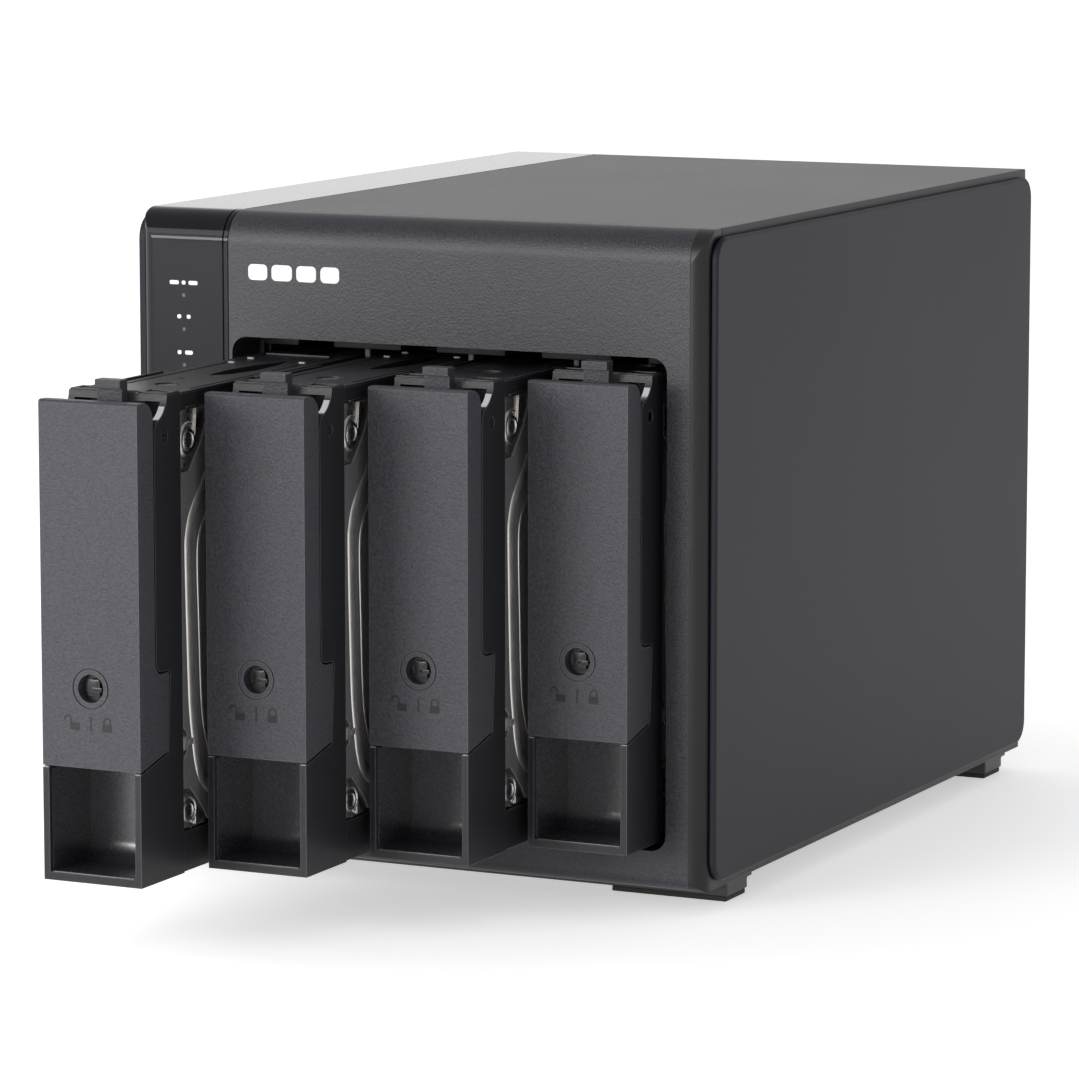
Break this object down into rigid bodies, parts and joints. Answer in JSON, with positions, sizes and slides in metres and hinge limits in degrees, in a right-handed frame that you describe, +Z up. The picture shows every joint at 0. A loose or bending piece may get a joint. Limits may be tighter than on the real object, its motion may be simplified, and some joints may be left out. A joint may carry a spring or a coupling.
{
  "type": "network attached storage",
  "caption": "Desktop network attached storage: grey case, glossy front strip, keyed drive trays with lever fronts drawn out in steps, fan and ports at the back.",
  "frame": {"origin": "under the middle of the whole object, trays drawn out as shown, on the surface it stands on", "axes": "+X to the right seen from the front, +Y to the back along the trays, +Z up"},
  "size_m": [0.16, 0.3194, 0.1685],
  "materials": {
    "bezel_plastic": "coarse leather-like moulded grain, dark grey",
    "gloss_plastic": "polished dark grey",
    "top_paint": "satin dark grey with a fine grain",
    "side_paint": "satin charcoal powder coat",
    "chassis_paint": "black powder coat",
    "cage_steel": "sheet steel with a black coating",
    "circuit_board": "green solder mask with tracks",
    "connector_plastic": "black moulded plastic",
    "chip_plastic": "black epoxy packages",
    "heatsink_metal": "extruded aluminium",
    "fan_plastic": "black glass-filled plastic",
    "lead_sleeve": "black vinyl sleeve",
    "port_metal": "nickel-plated shells",
    "button_plastic": "pale grey plastic",
    "foot_plastic": "black moulded plastic",
    "pad_rubber": "black rubber",
    "screw_steel": "zinc-plated steel",
    "tray_plastic": "fine moulded texture, dark grey",
    "lever_plastic": "fine moulded texture, dark grey, edges slightly worn bright",
    "pin_steel": "ground steel",
    "lock_metal": "dark nickel",
    "drive_casting": "die-cast aluminium, lightly tumbled",
    "drive_cover_metal": "dark grey semi-gloss stamped cover"
  },
  "bodies": {
    "chassis": {"front_bezel": "bezel_plastic", "gloss_strip": "gloss_plastic", "top_cover": "top_paint", "right_side_panel": "side_paint", "left_side_panel": "side_paint", "base_plate": "chassis_paint", "rear_panel": "chassis_paint", "bay_dividers": "cage_steel", "cage_decks": "cage_steel", "backplane_board": "circuit_board", "drive_sockets": "connector_plastic", "main_board": "circuit_board", "board_chips": "chip_plastic", "heatsink": "heatsink_metal", "indicator_board": "circuit_board", "fan_frame": "fan_plastic", "fan_lead": "lead_sleeve", "ethernet_jacks": "port_metal", "usb_ports": "port_metal", "dc_jack": "connector_plastic", "front_foot_bar": "foot_plastic", "rear_foot_bar": "foot_plastic", "foot_pads": "pad_rubber", "case_screws": "screw_steel"},
    "fan": {"fan_rotor": "fan_plastic"},
    "power_key": {"power_button": "gloss_plastic"},
    "reset_key": {"reset_button": "button_plastic"},
    "mains_rocker": {"power_switch": "connector_plastic"},
    "drawer_1": {"tray_1": "tray_plastic", "hinge_pin_1": "pin_steel", "drive_body_1": "drive_casting", "drive_cover_1": "drive_cover_metal", "drive_board_1": "circuit_board", "tray_screws_1": "screw_steel"},
    "handle_1": {"lever_1": "lever_plastic"},
    "key_plug_1": {"lock_1": "lock_metal"},
    "drawer_2": {"tray_2": "tray_plastic", "hinge_pin_2": "pin_steel", "drive_body_2": "drive_casting", "drive_cover_2": "drive_cover_metal", "drive_board_2": "circuit_board", "tray_screws_2": "screw_steel"},
    "handle_2": {"lever_2": "lever_plastic"},
    "key_plug_2": {"lock_2": "lock_metal"},
    "drawer_3": {"tray_3": "tray_plastic", "hinge_pin_3": "pin_steel", "drive_body_3": "drive_casting", "drive_cover_3": "drive_cover_metal", "drive_board_3": "circuit_board", "tray_screws_3": "screw_steel"},
    "handle_3": {"lever_3": "lever_plastic"},
    "key_plug_3": {"lock_3": "lock_metal"},
    "drawer_4": {"tray_4": "tray_plastic", "hinge_pin_4": "pin_steel", "drive_body_4": "drive_casting", "drive_cover_4": "drive_cover_metal", "drive_board_4": "circuit_board", "tray_screws_4": "screw_steel"},
    "handle_4": {"lever_4": "lever_plastic"},
    "key_plug_4": {"lock_4": "lock_metal"}
  },
  "joints": [
    {"name": "tray_1_slide", "type": "slide", "parent": "chassis", "child": "drawer_1", "axis": [0, 1, 0], "range_m": [-0.075, 0.0997]},
    {"name": "lever_1_hinge", "type": "hinge", "parent": "drawer_1", "child": "handle_1", "pos_m": [-0.0354, -0.14675, 0.1232], "axis": [-1, 0, 0], "range_deg": [0, 25]},
    {"name": "lock_1_turn", "type": "hinge", "parent": "handle_1", "child": "key_plug_1", "pos_m": [-0.0354, -0.15375, 0.0642], "axis": [0, -1, 0], "range_deg": [0, 90]},
    {"name": "tray_2_slide", "type": "slide", "parent": "chassis", "child": "drawer_2", "axis": [0, 1, 0], "range_m": [-0.103, 0.0717]},
    {"name": "lever_2_hinge", "type": "hinge", "parent": "drawer_2", "child": "handle_2", "pos_m": [-0.0064, -0.11875, 0.1232], "axis": [-1, 0, 0], "range_deg": [0, 25]},
    {"name": "lock_2_turn", "type": "hinge", "parent": "handle_2", "child": "key_plug_2", "pos_m": [-0.0064, -0.12575, 0.0642], "axis": [0, -1, 0], "range_deg": [0, 90]},
    {"name": "tray_3_slide", "type": "slide", "parent": "chassis", "child": "drawer_3", "axis": [0, 1, 0], "range_m": [-0.131, 0.0437]},
    {"name": "lever_3_hinge", "type": "hinge", "parent": "drawer_3", "child": "handle_3", "pos_m": [0.0226, -0.09075, 0.1232], "axis": [-1, 0, 0], "range_deg": [0, 25]},
    {"name": "lock_3_turn", "type": "hinge", "parent": "handle_3", "child": "key_plug_3", "pos_m": [0.0226, -0.09775, 0.0642], "axis": [0, -1, 0], "range_deg": [0, 90]},
    {"name": "tray_4_slide", "type": "slide", "parent": "chassis", "child": "drawer_4", "axis": [0, 1, 0], "range_m": [-0.159, 0.0157]},
    {"name": "lever_4_hinge", "type": "hinge", "parent": "drawer_4", "child": "handle_4", "pos_m": [0.0516, -0.06275, 0.1232], "axis": [-1, 0, 0], "range_deg": [0, 25]},
    {"name": "lock_4_turn", "type": "hinge", "parent": "handle_4", "child": "key_plug_4", "pos_m": [0.0516, -0.06975, 0.0642], "axis": [0, -1, 0], "range_deg": [0, 90]},
    {"name": "fan_spin", "type": "hinge", "parent": "chassis", "child": "fan", "pos_m": [0.0081, 0.14325, 0.086], "axis": [0, 1, 0], "continuous": true},
    {"name": "power_press", "type": "slide", "parent": "chassis", "child": "power_key", "axis": [0, 1, 0], "range_m": [0, 0.001], "stiffness_N_per_m": 400},
    {"name": "reset_press", "type": "slide", "parent": "chassis", "child": "reset_key", "axis": [0, -1, 0], "range_m": [0, 0.0008], "stiffness_N_per_m": 400},
    {"name": "switch_rock", "type": "hinge", "parent": "chassis", "child": "mains_rocker", "pos_m": [-0.0625, 0.15005, 0.14], "axis": [1, 0, 0], "range_deg": [0, 14]}
  ]
}
